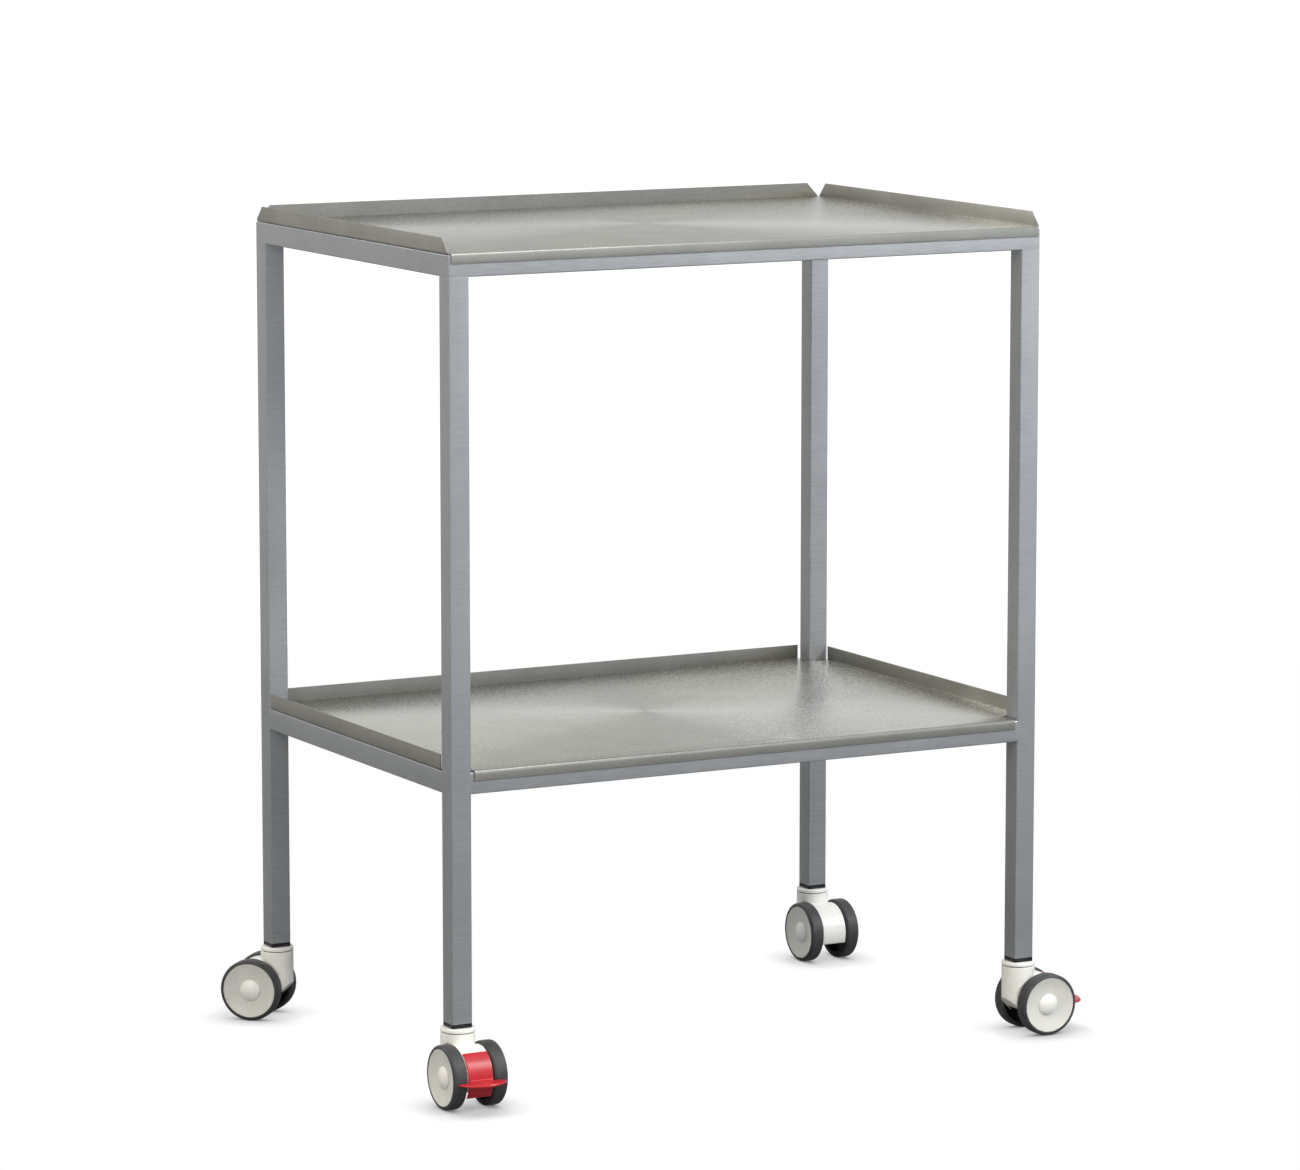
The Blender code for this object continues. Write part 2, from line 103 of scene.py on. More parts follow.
# One surface from what it is made of. The colour drifts between two tones over patchMm, with
# a share grainTone of it from the fine grain. The roughness and the bump follow that grain of
# grainMm, which is longer along the ways that stretch makes small.
def makeMaterial(name, look):
    material = bpy.data.materials.new(name)
    material.use_nodes = True
    tree = material.node_tree
    shader = tree.nodes["Principled BSDF"]
    place = addNode(tree, "ShaderNodeTexCoord").outputs["Object"]
    patch = addNode(
        tree,
        "ShaderNodeTexNoise",
        {"Vector": place, "Scale": 1000 / look["patchMm"], "Detail": 3.0},
    ).outputs["Fac"]
    stretched = addNode(
        tree,
        "ShaderNodeMapping",
        {"Vector": place, "Scale": look.get("stretch", (1, 1, 1))},
    ).outputs["Vector"]
    grain = addNode(
        tree,
        "ShaderNodeTexNoise",
        {"Vector": stretched, "Scale": 1000 / look["grainMm"], "Detail": 2.0},
    ).outputs["Fac"]
    # the noise seldom leaves the middle of its range, which is spread over both tones
    blend = addNode(tree, "ShaderNodeMix", {"A": patch, "B": grain}, data_type="FLOAT")
    blend.inputs["Factor"].default_value = look.get("grainTone", 0.0)
    tone = addNode(
        tree,
        "ShaderNodeMapRange",
        {"Value": blend.outputs["Result"], "From Min": 0.32, "From Max": 0.68},
    ).outputs["Result"]
    colour = addNode(tree, "ShaderNodeMix", {"Factor": tone}, data_type="RGBA")
    colour.inputs["A"].default_value = linear(look["dark"])
    colour.inputs["B"].default_value = linear(look["light"])
    tree.links.new(colour.outputs["Result"], shader.inputs["Base Color"])
    rough = addNode(
        tree,
        "ShaderNodeMapRange",
        {
            "Value": grain,
            "From Min": 0.25,
            "From Max": 0.75,
            "To Min": look["rough"][0],
            "To Max": look["rough"][1],
        },
    ).outputs["Result"]
    tree.links.new(rough, shader.inputs["Roughness"])
    bump = addNode(
        tree,
        "ShaderNodeBump",
        {"Height": grain, "Strength": look["bump"], "Distance": look["bumpMm"] * mm},
    ).outputs["Normal"]
    tree.links.new(bump, shader.inputs["Normal"])
    for key, value in look["shader"].items():
        shader.inputs[key].default_value = value
    material.diffuse_color = linear(look["light"])
    return material


# Cold-rolled steel tube under a satin metallic lacquer: cool grey, soft reflections that
# brighten along the rounded edges, and a fine grain that runs across the legs.
frameSteelLook = {
    "dark": "#8c8f92",
    "light": "#9a9da0",
    "patchMm": 90,
    "grainMm": 1.4,
    "grainTone": 0.6,
    "stretch": (0.06, 0.06, 1.0),
    "rough": (0.34, 0.46),
    "bump": 0.3,
    "bumpMm": 0.05,
    "shader": {"Metallic": 0.55, "Coat Weight": 0.5, "Coat Roughness": 0.06},
}
# Stainless sheet finished with a rotary sander: warm grey, a sparkling grain about 2.4 mm
# across, and rings of scratches about the middle that pull each reflection into a ray.
trayFloorLook = {
    "dark": "#9a9991",
    "light": "#cbcac2",
    "patchMm": 60,
    "grainMm": 2.4,
    "grainTone": 0.85,
    "rough": (0.20, 0.34),
    "bump": 0.6,
    "bumpMm": 0.10,
    "shader": {"Metallic": 1.0, "Anisotropic": 0.78},
}
# Top sheet: the same finish, darker than the lower one as painted shade: its tones stand for the
# dim reflection of its back flange
topFloorLook = dict(trayFloorLook, dark="#8d8c85", light="#bbbab2")
# The same sheet where it is bent up or down: an even satin, slightly darker than the floor
trayEdgeLook = dict(trayFloorLook, dark="#918f88", light="#a9a7a0", rough=(0.34, 0.46))
trayEdgeLook.update(bump=0.2, grainTone=0.6, grainMm=1.6, shader={"Metallic": 1.0})
# Front fold over the ring: the flanges' satin in lighter tones, painted light on the fold that
# faces the front
trayFrontLook = dict(trayEdgeLook, dark="#b4b2aa", light="#c8c6be", rough=(0.36, 0.48))
# Bright zinc-plated steel of stems and axles: smooth, with fine turning marks
brightSteelLook = {
    "dark": "#a9abad",
    "light": "#c2c3c4",
    "patchMm": 6,
    "grainMm": 0.4,
    "rough": (0.2, 0.34),
    "bump": 0.15,
    "bumpMm": 0.03,
    "shader": {"Metallic": 1.0},
}
# Injection-moulded polyamide in warm white: half gloss with a barely visible mould texture
whitePlasticLook = {
    "dark": "#e6e5de",
    "light": "#efeee8",
    "patchMm": 18,
    "grainMm": 0.5,
    "rough": (0.30, 0.40),
    "bump": 0.10,
    "bumpMm": 0.03,
    "shader": {"IOR": 1.5, "Subsurface Weight": 0.05, "Subsurface Scale": 0.002},
}
# Moulded polypropylene of the wheel discs: light warm grey, duller than the housing
discPlasticLook = {
    "dark": "#cfcec7",
    "light": "#d7d6cf",
    "patchMm": 14,
    "grainMm": 0.5,
    "rough": (0.38, 0.50),
    "bump": 0.14,
    "bumpMm": 0.03,
    "shader": {"IOR": 1.49},
}
# Non-marking thermoplastic rubber: dark neutral grey, dull, with a fine dusty grain
tyreLook = {
    "dark": "#303031",
    "light": "#3b3b3c",
    "patchMm": 9,
    "grainMm": 0.6,
    "rough": (0.48, 0.66),
    "bump": 0.25,
    "bumpMm": 0.05,
    "shader": {"IOR": 1.5, "Sheen Weight": 0.06, "Sheen Roughness": 0.5},
}
# Injection-moulded nylon in signal red: clean gloss that shows the curve of the plate
redPlasticLook = {
    "dark": "#ae1520",
    "light": "#bd1b26",
    "patchMm": 20,
    "grainMm": 0.6,
    "rough": (0.26, 0.36),
    "bump": 0.10,
    "bumpMm": 0.03,
    "shader": {"IOR": 1.53},
}
# Moulded polyethylene of the leg plugs: near black, half dull
blackPlasticLook = {
    "dark": "#040404",
    "light": "#080808",
    "patchMm": 12,
    "grainMm": 0.5,
    "rough": (0.35, 0.5),
    "bump": 0.15,
    "bumpMm": 0.03,
    "shader": {"IOR": 1.5},
}

frameSteel = makeMaterial("satinLacqueredSteel", frameSteelLook)
trayFloor = makeMaterial("rotarySandedStainless", trayFloorLook)
# the top sheet's darker tones are painted shade
topFloor = makeMaterial("shadeDarkenedSandedStainless", topFloorLook)
trayEdge = makeMaterial("satinStainless", trayEdgeLook)
# the front fold's lighter tones are painted light
trayFront = makeMaterial("frontLitSatinStainless", trayFrontLook)
brightSteel = makeMaterial("zincPlatedSteel", brightSteelLook)
whitePlastic = makeMaterial("mouldedWhitePolyamide", whitePlasticLook)
discPlastic = makeMaterial("mouldedGreyPolypropylene", discPlasticLook)
tyreRubber = makeMaterial("greyThermoplasticRubber", tyreLook)
redPlastic = makeMaterial("mouldedRedNylon", redPlasticLook)
blackPlastic = makeMaterial("mouldedBlackPolyethylene", blackPlasticLook)

# The sander's rings: the tangent points away from the tray's middle, so that the scratches
# run round it. It is the place about the middle, laid flat and brought to length one.
for sanded in (trayFloor, topFloor):
    tree = sanded.node_tree
    place = addNode(tree, "ShaderNodeTexCoord").outputs["Object"]
    about = addNode(
        tree, "ShaderNodeVectorMath", {0: place, 1: (*middle[:2], 0)}, operation="SUBTRACT"
    ).outputs["Vector"]
    flat = addNode(
        tree, "ShaderNodeVectorMath", {0: about, 1: (1, 1, 0)}, operation="MULTIPLY"
    ).outputs["Vector"]
    away = addNode(tree, "ShaderNodeVectorMath", {0: flat}, operation="NORMALIZE")
    tree.links.new(away.outputs["Vector"], tree.nodes["Principled BSDF"].inputs["Tangent"])
print("materials made")


# Quads of a grid of rows by columns, whose last row or column may join the first
def gridQuads(rows, columns, closeRows, closeColumns):
    r = np.arange(rows if closeRows else rows - 1)[:, None]
    c = np.arange(columns if closeColumns else columns - 1)[None, :]
    nextR = (r + 1) % rows
    nextC = (c + 1) % columns
    quads = np.stack(
        [r * columns + c, r * columns + nextC, nextR * columns + nextC, nextR * columns + c],
        axis=-1,
    )
    return quads.reshape(-1, 4)


# A mesh object at the origin from grids of points (rows, columns, 3), each with its two
# closings and a material number. Doubles are merged, and a closed shell is turned outwards.
def makePiece(name, grids, materials, outwards=True):
    points, quads, numbers, offset = [], [], [], 0
    for grid, closeRows, closeColumns, number in grids:
        rows, columns = grid.shape[:2]
        faces = gridQuads(rows, columns, closeRows, closeColumns) + offset
        points.append(grid.reshape(-1, 3))
        quads.append(faces)
        numbers.append(np.full(len(faces), number))
        offset += rows * columns
    return pieceFrom(
        name,
        np.concatenate(points),
        np.concatenate(quads),
        materials,
        np.concatenate(numbers),
        outwards=outwards,
    )


# The same from bare points and quads; edges that turn more than the crease stay sharp
def pieceFrom(name, points, quads, materials, numbers=None, crease=creaseAngle, outwards=True):
    mesh = bpy.data.meshes.new(name)
    mesh.vertices.add(len(points))
    mesh.vertices.foreach_set("co", np.asarray(points, np.float32).ravel())
    mesh.loops.add(len(quads) * 4)
    mesh.loops.foreach_set("vertex_index", np.asarray(quads, np.int32).ravel())
    mesh.polygons.add(len(quads))
    mesh.polygons.foreach_set("loop_start", np.arange(0, len(quads) * 4, 4, dtype=np.int32))
    if numbers is not None:
        mesh.polygons.foreach_set("material_index", np.asarray(numbers, np.int32))
    for material in materials:
        mesh.materials.append(material)
    mesh.update(calc_edges=True)
    mesh.validate()
    tidy = bmesh.new()
    tidy.from_mesh(mesh)
    bmesh.ops.remove_doubles(tidy, verts=tidy.verts, dist=2e-7)
    bmesh.ops.dissolve_degenerate(tidy, edges=tidy.edges, dist=1e-7)
    if outwards:
        bmesh.ops.recalc_face_normals(tidy, faces=tidy.faces)
    tidy.to_mesh(mesh)
    tidy.free()
    mesh.shade_smooth()
    mesh.set_sharp_from_angle(angle=math.radians(crease))
    piece = bpy.data.objects.new(name, mesh)
    bpy.context.scene.collection.objects.link(piece)
    return piece


# Gives a piece its body and hides the CAD nodes that it stands for; slotName, the record's finish,
# is not used
def settle(piece, body, slotName, *nodes):
    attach(piece, body)
    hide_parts(*nodes)


# Outline of a square with round corners: quarter circles of the given radius about four
# points that lie half - radius from each axis, as arrays of x and y
def squareOutline(half, radius, steps):
    angle = np.linspace(0, math.pi / 2, steps + 1)[None, :] + (np.arange(4) * math.pi / 2)[:, None]
    signX = np.array([1, -1, -1, 1])[:, None]
    signY = np.array([1, 1, -1, -1])[:, None]
    x = signX * (half - radius) + radius * np.cos(angle)
    y = signY * (half - radius) + radius * np.sin(angle)
    return x.ravel(), y.ravel()


# Rows of rounded squares: each row is (half width, corner radius, height) about an axis
def squareStack(rows, x, y, steps=8):
    made = []
    for half, radius, height in rows:
        across, along = squareOutline(half, radius, steps)
        made.append(np.stack([x + across, y + along, np.full_like(across, height)], axis=-1))
    return np.array(made)


# A profile of (radius, distance along the axle) turned through a whole circle about y
def turnedAboutY(profile, steps):
    radius, along = np.array(profile).T
    angle = np.linspace(0, 2 * math.pi, steps, endpoint=False)
    x = radius[:, None] * np.cos(angle)
    z = radius[:, None] * np.sin(angle)
    y = np.broadcast_to(along[:, None], x.shape)
    return np.stack([x, y, z], axis=-1)


# Arc of points (across, along) about a centre between two angles in degrees
def arc(centre, radius, start, end, steps):
    angle = np.radians(np.linspace(start, end, steps + 1))
    return [
        (centre[0] + radius * c, centre[1] + radius * s)
        for c, s in zip(np.cos(angle), np.sin(angle))
    ]


frameLook = {
    "corner": 1.5 * mm,
    "wall": 1.5 * mm,
    "steps": 8,
    "legIntoRing": 1.0 * mm,  # closes the groove that the ring's rounded edge would leave
}


# Square tube carried round a rectangle. A point that lies g inside the outer face follows a
# rectangle g smaller all round, whose corners have the radius left over: corner - g, or none.
def ringGrid(low, high, bottom, look):
    half = tube / 2
    across, up = squareOutline(half, look["corner"], look["steps"])
    inside = half - across
    radius = np.maximum(look["corner"] - inside, 0)
    turn = np.linspace(0, math.pi / 2, look["steps"] + 1)
    angle = (turn[None, :] + (np.arange(4) * math.pi / 2)[:, None]).ravel()
    signX = np.repeat([1, -1, -1, 1], look["steps"] + 1)
    signY = np.repeat([1, 1, -1, -1], look["steps"] + 1)
    centre = (low + high) / 2
    reach = (high - low) / 2
    shrink = (inside + radius)[None, :]
    x = centre[0] + signX[:, None] * (reach[0] - shrink) + radius * np.cos(angle)[:, None]
    y = centre[1] + signY[:, None] * (reach[1] - shrink) + radius * np.sin(angle)[:, None]
    z = np.broadcast_to(bottom + half + up, x.shape)
    return np.stack([x, y, z], axis=-1)


def buildFrame():
    ring = ringGrid(ringLow, ringHigh, ringLow[2], frameLook)
    topRing = makePiece("topRing", [(ring, True, True, 0)], [frameSteel])
    sides = ("back", "left", "front", "right")
    settle(topRing, "frame", "frame_steel", *[f"top_rail_{side}" for side in sides])
    half, corner = tube / 2, frameLook["corner"]
    bore = half - frameLook["wall"]
    for name in corners:
        low, high, centre = boxOf(f"leg_{name}")
        top = ringLow[2] + frameLook["legIntoRing"]
        # outer face up, over the rim, inner face down and closed underneath
        rows = [
            (half, corner, low[2]),
            (half, corner, top),
            (bore, corner / 2, top),
            (bore, corner / 2, low[2]),
        ]
        grid = squareStack(rows, centre[0], centre[1], frameLook["steps"])
        leg = makePiece(f"leg.{name}", [(grid, True, True, 0)], [frameSteel])
        settle(leg, "frame", "frame_steel", f"leg_{name}")
    across, up = squareOutline(half, corner, frameLook["steps"])
    for side in sides:
        low, high, centre = boxOf(f"lower_rail_{side}")
        way = 0 if side in ("front", "back") else 1
        # each end runs on past the leg's round corner, as a joint welded and ground flush
        ends = np.array([low[way] - corner, high[way] + corner])
        grid = np.empty((2, len(across), 3))
        grid[:, :, way] = ends[:, None]
        grid[:, :, 1 - way] = centre[1 - way] + across
        grid[:, :, 2] = centre[2] + up
        ends = np.repeat(grid.mean(axis=1, keepdims=True), len(across), axis=1)
        grid = np.concatenate([ends[:1], grid, ends[1:]])
        rail = makePiece(f"lowerRail.{side}", [(grid, False, True, 0)], [frameSteel])
        settle(rail, "frame", "frame_steel", f"lower_rail_{side}")
    print("frame built")


trayLook = {
    "sheet": 1.5 * mm,
    "outerBend": 1.7 * mm,
    "frontBend": 1.8 * mm,
    "bendSteps": 6,
    "cutEdge": 0.3 * mm,
    "cutEdgeFrom": 50,  # degrees: bends turn less at each step and stay as they are
    "squareRise": 2.5 * mm,  # height over which a flange's ends stay square
}
# What sets the two sheets apart: the rail they lie on, the floor's finish with the top one's
# painted shade, how much of each corner is cut out and how far the flanges' ends lean in
trays = {
    "top_tray": {"rail": "top_rail_back", "floor": topFloor, "notch": 3 * mm, "slant": 15 * mm},
    "lower_tray": {
        "rail": "lower_rail_back",
        "floor": trayFloor,
        "notch": tube + 3.8 * mm,
        "slant": 0,
    },
}


# One folded side: rows go round the bend and up the flange, columns are its two ends. The
# ends stay square for squareRise and then lean in by slant at the top.
def foldGrid(start, end, outward, bend, rise, slant, down):
    start, end, outward = (np.array(v, float) for v in (start, end, outward))
    along = (end - start) / np.linalg.norm(end - start)
    turn = np.linspace(0, math.pi / 2, trayLook["bendSteps"] + 1)
    out = np.concatenate([bend * np.sin(turn), [bend, bend]])
    square = max(trayLook["squareRise"], bend * 1.01)
    up = np.concatenate([bend * (1 - np.cos(turn)), [square, rise]])
    lean = np.zeros_like(up)
    lean[-1] = slant
    grid = np.empty((len(up), 2, 3))
    grid[:, 0, :2] = start + outward * out[:, None] + along * lean[:, None]
    grid[:, 1, :2] = end + outward * out[:, None] - along * lean[:, None]
    grid[:, :, 2] = (-up if down else up)[:, None]
    return grid


# Underside of the floor as a grid without its corner blocks, with the four folds along it
def buildTray(node, own):
    low, high, _ = boxOf(node)
    look = trayLook
    outer, inner = look["outerBend"], look["frontBend"]
    notch, slant = own["notch"], own["slant"]
    floor = boxOf(own["rail"])[1][2] + gap
    front = low[1] + look["sheet"]
    sideFront = (ringLow[1] if notch > tube else front) + notch
    xs = np.array([low[0] + outer, low[0] + notch, high[0] - notch, high[0] - outer])
    ys = np.array([front + inner, sideFront, high[1] - notch, high[1] - outer])
    flat = np.empty((4, 4, 3))
    flat[:, :, 0] = xs[None, :]
    flat[:, :, 1] = ys[:, None]
    flat[:, :, 2] = floor
    grids = [
        (flat[0:2, 1:3], False, False, 0),
        (flat[1:3, 0:4], False, False, 0),
        (flat[2:4, 1:3], False, False, 0),
    ]
    rise = high[2] - floor
    folds = [
        ((xs[1], ys[3]), (xs[2], ys[3]), (0, 1), outer, rise, slant, False),
        ((xs[0], ys[1]), (xs[0], ys[2]), (-1, 0), outer, rise, slant, False),
        ((xs[2], ys[0]), (xs[1], ys[0]), (0, -1), inner, floor - low[2], 0, True),
        ((xs[3], ys[2]), (xs[3], ys[1]), (1, 0), outer, rise, slant, False),
    ]
    for start, end, outward, bend, height, lean, down in folds:
        grid = foldGrid(start, end, outward, bend, height, lean, down)
        grid[:, :, 2] += floor
        grids.append((grid, False, False, 2 if down else 1))
    # the folds are wound so that every face looks to the side that the sheet thickens to
    # the list carries the top floor's painted shade and the front fold's painted light
    finishes = [own["floor"], trayEdge, trayFront]
    tray = makePiece(node.replace("_t", "T"), grids, finishes, outwards=False)
    sheet = tray.modifiers.new("sheet", "SOLIDIFY")
    sheet.thickness = look["sheet"]
    sheet.offset = 1.0
    sheet.use_even_offset = True
    edge = tray.modifiers.new("cutEdge", "BEVEL")
    edge.width = look["cutEdge"]
    edge.segments = 2
    edge.limit_method = "ANGLE"
    edge.angle_limit = math.radians(look["cutEdgeFrom"])
    bake(tray)
    settle(tray, "frame", "stainless", node)


# Puts the modifiers' result into the mesh
def bake(piece):
    graph = bpy.context.evaluated_depsgraph_get()
    mesh = bpy.data.meshes.new_from_object(piece.evaluated_get(graph))
    piece.modifiers.clear()
    piece.data = mesh
    mesh.shade_smooth()
    mesh.set_sharp_from_angle(angle=math.radians(creaseAngle))


caster = {
    "trail": 24.5 * mm,
    "wheel": 37.5 * mm,  # radius over the tyre
    "barrel": 20 * mm,
    "barrelTop": 83.5 * mm,
    "cover": 34 * mm,
    "coverHalf": 16.4 * mm,
    "wall": 3 * mm,
    "pocket": 38.8 * mm,
    "bottom": 25 * mm,
    "slope": 24.8 * mm,  # height at which the 45 degree cut meets the stem's axis
    "socket": 5.3 * mm,
    "socketBottom": 66 * mm,
    "axleHole": 4.3 * mm,
    "lattice": 0.6 * mm,  # cell of the housing's skin
    "latticeLow": (-22 * mm, -22 * mm, 23 * mm),
    "latticeHigh": (61 * mm, 22 * mm, 86 * mm),
    "crease": 75,  # degrees, for the skins of housing and pedal
}


# Smooth joining of two distance fields: the lower one, less a fillet of about the radius r
# where they are nearly equal. Cutting is the same with both signs turned.
def join(a, b, r):
    h = np.maximum(r - np.abs(a - b), 0) / r
    return np.minimum(a, b) - h * h * r / 4


def cutAway(a, b, r):
    return -join(-a, b, r)


# Distance to a round bar of limited length: the larger of the radial and the end distance,
# with the edge between them rounded by r
def barField(radial, radius, along, half, r):
    side, end = radial - radius + r, np.abs(along) - half + r
    out = np.hypot(np.maximum(side, 0), np.maximum(end, 0))
    return out + np.minimum(np.maximum(side, end), 0) - r


# Swivel body: barrel joined to the drum over the axle, less the wheels' pockets, the hollow,
# the open underside with its slope, the stem's socket and the axle's hole
def housingField(x, y, z):
    c = caster
    fromAxle = np.hypot(x - c["trail"], z - c["wheel"])
    fromStem = np.hypot(x, y)
    barrel = barField(fromStem, c["barrel"], z - c["wheel"], c["barrelTop"] - c["wheel"], 0.7 * mm)
    drum = barField(fromAxle, c["cover"], y, c["coverHalf"] + 2 * mm, 0.5 * mm)
    body = join(barrel, drum, 2.0 * mm)
    pocket = np.maximum(fromAxle - c["pocket"], c["coverHalf"] - np.abs(y))
    body = cutAway(body, pocket, 0.8 * mm)
    hollow = barField(fromAxle, c["cover"] - c["wall"], y, c["coverHalf"] - c["wall"], 1.0 * mm)
    body = cutAway(body, hollow, 0.6 * mm)
    body = cutAway(body, z - c["bottom"], 0.8 * mm)
    body = cutAway(body, (x + z - c["slope"]) / math.sqrt(2), 0.8 * mm)
    socket = np.maximum(fromStem - c["socket"], c["socketBottom"] - z)
    body = cutAway(body, socket, 0.4 * mm)
    return cutAway(body, fromAxle - c["axleHole"], 0.4 * mm)


pedal = {
    "half": 15.5 * mm,
    "thickness": 1.6 * mm,
    "clearance": 0.4 * mm,
    "top": 57.5,  # degrees round the axle
    "bottom": -35.0,
    "arm": -29.0,
    "eye": 7.5 * mm,
    "eyeHalf": 11 * mm,
    "lipHalf": 30.5 * mm,
    "lipReach": 19.5 * mm,
    "lipBottom": 34 * mm,
    "lipThickness": 4.5 * mm,
    "lipClearance": 0.8 * mm,
    "neckHalf": 14.5 * mm,
    "armHalf": 10 * mm,
    "lattice": 0.5 * mm,
    "latticeLow": (14 * mm, -33 * mm, 13 * mm),
    "latticeHigh": (85 * mm, 33 * mm, 71 * mm),
}


# Foot pedal: a bent plate concentric with the drum, a half-round lip whose rim is rounded and
# thins towards its tips, an arm back to the axle and the eye that turns on it
def pedalField(x, y, z):
    c, p = caster, pedal
    dx, dz = x - c["trail"], z - c["wheel"]
    radial = np.hypot(dx, dz)
    angle = np.arctan2(dz, dx)
    inner = c["cover"] + p["clearance"]
    halfSheet = p["thickness"] / 2
    halfAngle = math.radians(p["top"] - p["bottom"]) / 2
    midAngle = math.radians(p["top"] + p["bottom"]) / 2
    sheet = np.abs(radial - inner - halfSheet) - halfSheet
    ends = (np.abs(angle - midAngle) - halfAngle) * inner
    plate = cutAway(cutAway(sheet, -ends, 0.7 * mm), p["half"] - np.abs(y), 0.7 * mm)
    back = c["wheel"] + p["lipClearance"]
    over = np.maximum(dx - back, 0) / p["lipReach"]
    aside = np.abs(y) / p["lipHalf"]
    plan = (np.hypot(over, aside) - 1) * p["lipReach"]
    plan = np.maximum(plan, back - dx)
    thin = p["lipThickness"] / 2 * (1 - 0.45 * np.clip(aside, 0, 1) ** 2)
    height = np.abs(z - p["lipBottom"] - p["lipThickness"] / 2) - thin
    lip = cutAway(plan, -height, 2.6 * mm)
    neck = np.maximum(np.abs(dx - (inner + back) / 2) - (back - inner) / 2 - 0.4 * mm, height)
    neck = np.maximum(neck, np.abs(y) - p["neckHalf"])
    armAngle = math.radians(p["arm"])
    along = dx * math.cos(armAngle) + dz * math.sin(armAngle)
    across = -dx * math.sin(armAngle) + dz * math.cos(armAngle) + halfSheet
    arm = np.maximum(np.abs(across) - halfSheet, np.abs(along - inner / 2) - inner / 2)
    arm = np.maximum(arm, np.abs(y) - p["armHalf"])
    eye = barField(radial, p["eye"], y, p["eyeHalf"], 0.5 * mm)
    tread = join(plate, join(lip, neck, 0.8 * mm), 1.2 * mm)
    body = join(tread, join(arm, eye, 1.0 * mm), 0.8 * mm)
    return cutAway(body, radial - c["axleHole"], 0.4 * mm)


# The skin where a distance field is zero. Each cube of the lattice that the skin crosses gets
# one point, the mean of where its edges cross zero. Four cubes round a crossed edge make one
# quad. The points are then moved onto the skin along the field's slope.
def skinOf(field, low, high, step):
    axes = [np.arange(a, b + step, step) for a, b in zip(low, high)]
    shape = [len(a) for a in axes]
    value = field(*np.meshgrid(*axes, indexing="ij"))
    inside = value < 0
    cells = tuple(n - 1 for n in shape)
    total = np.zeros((*cells, 3))
    count = np.zeros(cells)
    crossings = []
    for axis in range(3):
        others = [(axis + 1) % 3, (axis + 2) % 3]
        first = [slice(None)] * 3
        second = [slice(None)] * 3
        first[axis], second[axis] = slice(0, -1), slice(1, None)
        a, b = value[tuple(first)], value[tuple(second)]
        crossed = inside[tuple(first)] != inside[tuple(second)]
        share = np.where(crossed, a / np.where(crossed, a - b, 1), 0)
        for stepB in (0, 1):
            for stepC in (0, 1):
                window = [slice(None)] * 3
                window[others[0]] = slice(stepB, stepB + cells[others[0]])
                window[others[1]] = slice(stepC, stepC + cells[others[1]])
                hit = crossed[tuple(window)]
                total[..., axis] += share[tuple(window)]
                total[..., others[0]] += hit * stepB
                total[..., others[1]] += hit * stepC
                count += hit
        crossings.append((crossed, inside[tuple(first)], others))
    active = count > 0
    number = np.full(cells, -1)
    number[active] = np.arange(active.sum())
    index = np.argwhere(active)
    points = (index + total[active] / count[active][:, None]) * step + np.array(low)
    quads = []
    for axis, (crossed, startInside, others) in enumerate(crossings):
        at = np.argwhere(crossed)
        at = at[(at[:, others[0]] > 0) & (at[:, others[1]] > 0)]
        at = at[(at[:, others[0]] < cells[others[0]]) & (at[:, others[1]] < cells[others[1]])]
        ring = []
        for backB, backC in ((1, 1), (0, 1), (0, 0), (1, 0)):
            cell = at.copy()
            cell[:, others[0]] -= backB
            cell[:, others[1]] -= backC
            ring.append(number[tuple(cell.T)])
        ring = np.stack(ring, axis=1)
        flip = ~startInside[tuple(at.T)]
        ring[flip] = ring[flip][:, ::-1]
        quads.append(ring)
    nudge = step * 0.02
    for _ in range(3):
        x, y, z = points.T
        slope = np.stack(
            [
                field(x + nudge, y, z) - field(x - nudge, y, z),
                field(x, y + nudge, z) - field(x, y - nudge, z),
                field(x, y, z + nudge) - field(x, y, z - nudge),
            ],
            axis=1,
        ) / (2 * nudge)
        length = np.maximum((slope**2).sum(axis=1), 0.25)
        move = slope * (field(x, y, z) / length)[:, None]
        reach = np.linalg.norm(move, axis=1)
        points = points - move * np.minimum(1, 0.4 * step / np.maximum(reach, 1e-12))[:, None]
    return points, np.concatenate(quads)


# Turns points from a caster's own axes to its place: x runs from the stem to the axle
def atCorner(points, name):
    stem = boxOf(f"stem_{name}")[2]
    away = boxOf(f"axle_{name}")[2] - stem
    away = away[:2] / np.linalg.norm(away[:2])
    x, y, z = points[..., 0], points[..., 1], points[..., 2]
    return np.stack(
        [stem[0] + away[0] * x - away[1] * y, stem[1] + away[1] * x + away[0] * y, z], axis=-1
    )


wheel = {
    "inner": 17.1 * mm,
    "outer": 34.6 * mm,
    "tyreDepth": 4.2 * mm,
    "recess": 1.2 * mm,
    "outerRound": 4.0 * mm,
    "innerRound": 3.4 * mm,
    "crown": 0.25 * mm,  # how much the tread falls towards its edges
    "rimWall": 3 * mm,
    "webInside": 27 * mm,
    "hub": 9.5 * mm,
    "hubInside": 16.9 * mm,
    "hubFace": 30 * mm,
    "cap": 13.5 * mm,
    "capHeight": 4.8 * mm,
    "steps": 96,
}


